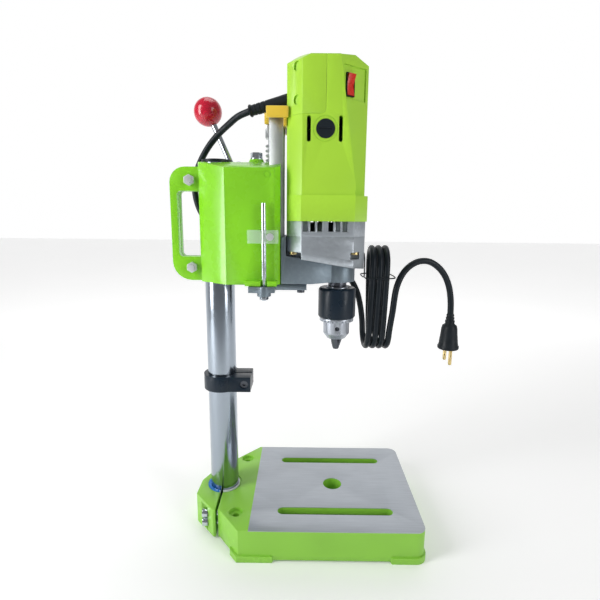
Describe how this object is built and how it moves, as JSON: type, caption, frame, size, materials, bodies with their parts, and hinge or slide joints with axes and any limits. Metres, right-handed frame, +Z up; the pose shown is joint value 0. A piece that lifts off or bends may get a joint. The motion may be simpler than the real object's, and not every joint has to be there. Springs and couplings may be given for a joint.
{
  "type": "drill press",
  "caption": "Small bench drill press: column on a slotted table base, D-handled head with rack feed and ball lever, drill motor on a dovetail slide and a keyed chuck.",
  "frame": {"origin": "top of the table's centre hole, on the spindle axis", "axes": "+X towards the operator's side in front of the spindle, away from the column; +Y towards the feed lever; +Z up"},
  "size_m": [0.32, 0.168, 0.501],
  "materials": {
    "base_green": "satin green enamel on a casting",
    "head_green": "satin green enamel on a casting",
    "housing_lime": "satin moulded plastic",
    "grey_casting": "bead-blasted casting",
    "pale_casting": "bead-blasted casting",
    "bright_steel": "ground",
    "chrome": "polished",
    "dark_steel": "blackened",
    "black_plastic": "fine grain",
    "black_enamel": "satin black enamel",
    "black_rubber": "smooth",
    "cord_black": "matt jacket",
    "red_plastic": "polished",
    "red_switch": "satin",
    "yellow_plastic": "satin",
    "blue_nylon": "satin",
    "clear_plastic": "clear moulded",
    "bronze": "sintered",
    "brass_screw": "plated",
    "copper": "enamelled wire"
  },
  "bodies": {
    "base": {"base_casting": "base_green", "base_clamp_bolts": "chrome", "column_liner": "blue_nylon"},
    "column": {"column_tube": "chrome", "column_cap": "black_plastic"},
    "collar": {"stop_collar": "black_enamel", "collar_screw": "dark_steel"},
    "head": {"head_casting": "head_green", "handle_bolts": "chrome", "handle_nuts": "chrome", "head_top_screws": "chrome", "pinion_bushes": "bronze", "return_spring": "dark_steel"},
    "lever": {"pinion_shaft": "bright_steel", "lever_hub": "black_enamel", "lever_rod": "chrome", "lever_ball": "red_plastic"},
    "carriage": {"carriage_casting": "grey_casting", "gearbox_casting": "pale_casting", "gearbox_ring": "pale_casting", "gearbox_screws": "brass_screw", "spindle_bearings": "bright_steel", "motor_bearings": "bright_steel", "motor_housing": "housing_lime", "motor_cap": "housing_lime", "housing_screws": "dark_steel", "brush_caps": "black_plastic", "brushes": "black_plastic", "stator_core": "dark_steel", "stator_windings": "copper", "switch_frame": "black_plastic", "slide_bar": "bright_steel", "rack": "bright_steel", "top_bracket": "yellow_plastic", "depth_bracket": "grey_casting", "bracket_screws": "dark_steel", "depth_rod": "chrome", "rod_nuts": "chrome", "strain_relief": "black_rubber", "cord_lead": "cord_black", "cord_hank": "cord_black", "cord_tail": "cord_black", "twist_tie": "black_plastic", "plug": "black_rubber"},
    "depth_stop": {"depth_clip": "clear_plastic", "clip_screw": "chrome"},
    "rocker": {"rocker_button": "red_switch"},
    "armature": {"armature_shaft": "bright_steel", "armature_core": "dark_steel", "commutator": "copper", "motor_fan": "black_plastic"},
    "spindle": {"spindle": "dark_steel", "spindle_gear": "bright_steel", "chuck_body": "bright_steel"},
    "sleeve": {"chuck_sleeve": "black_enamel", "chuck_gear_ring": "bright_steel"},
    "jaw_a": {"jaw_1": "dark_steel"},
    "jaw_b": {"jaw_2": "dark_steel"},
    "jaw_c": {"jaw_3": "dark_steel"}
  },
  "joints": [
    {"name": "column_turn", "type": "hinge", "parent": "base", "child": "column", "pos_m": [-0.129, 0, 0], "axis": [0, 0, 1], "continuous": true},
    {"name": "head_height", "type": "slide", "parent": "column", "child": "head", "axis": [0, 0, 1], "range_m": [-0.1, 0.008]},
    {"name": "collar_height", "type": "slide", "parent": "column", "child": "collar", "axis": [0, 0, 1], "range_m": [-0.1, 0]},
    {"name": "carriage_feed", "type": "slide", "parent": "head", "child": "carriage", "axis": [0, 0, -1], "range_m": [0, 0.037], "stiffness_N_per_m": 150, "springref_m": -0.45},
    {"name": "lever_turn", "type": "hinge", "parent": "head", "child": "lever", "pos_m": [-0.09, 0.06, 0.2995], "axis": [0, 1, 0], "range_deg": [-1, 158]},
    {"name": "depth_set", "type": "slide", "parent": "carriage", "child": "depth_stop", "axis": [0, 0, 1], "range_m": [0, 0.024]},
    {"name": "switch_rock", "type": "hinge", "parent": "carriage", "child": "rocker", "pos_m": [0.004, -0.0279, 0.4387], "axis": [0.8, 0.6, 0], "range_deg": [0, 14]},
    {"name": "spindle_spin", "type": "hinge", "parent": "carriage", "child": "spindle", "pos_m": [0, 0, 0.2645], "axis": [0, 0, 1], "continuous": true},
    {"name": "armature_spin", "type": "hinge", "parent": "carriage", "child": "armature", "pos_m": [-0.018, 0, 0.2645], "axis": [0, 0, 1], "continuous": true},
    {"name": "sleeve_turn", "type": "hinge", "parent": "spindle", "child": "sleeve", "pos_m": [0, 0, 0.2245], "axis": [0, 0, 1], "range_deg": [0, 1440]},
    {"name": "jaw_a_slide", "type": "slide", "parent": "spindle", "child": "jaw_a", "axis": [0.2588, 0, 0.9659], "range_m": [-0.0001, 0.0161]},
    {"name": "jaw_b_slide", "type": "slide", "parent": "spindle", "child": "jaw_b", "axis": [-0.1294, 0.2241, 0.9659], "range_m": [-0.0001, 0.0161]},
    {"name": "jaw_c_slide", "type": "slide", "parent": "spindle", "child": "jaw_c", "axis": [-0.1294, -0.2241, 0.9659], "range_m": [-0.0001, 0.0161]}
  ],
  "couplings": [
    {"joint": "lever_turn", "follows": "carriage_feed", "rad_per_m": 74.074},
    {"joint": "armature_spin", "follows": "spindle_spin", "ratio": -3},
    {"joint": "jaw_a_slide", "follows": "sleeve_turn", "m_per_rad": 0.00063662},
    {"joint": "jaw_b_slide", "follows": "sleeve_turn", "m_per_rad": 0.00063662},
    {"joint": "jaw_c_slide", "follows": "sleeve_turn", "m_per_rad": 0.00063662}
  ]
}
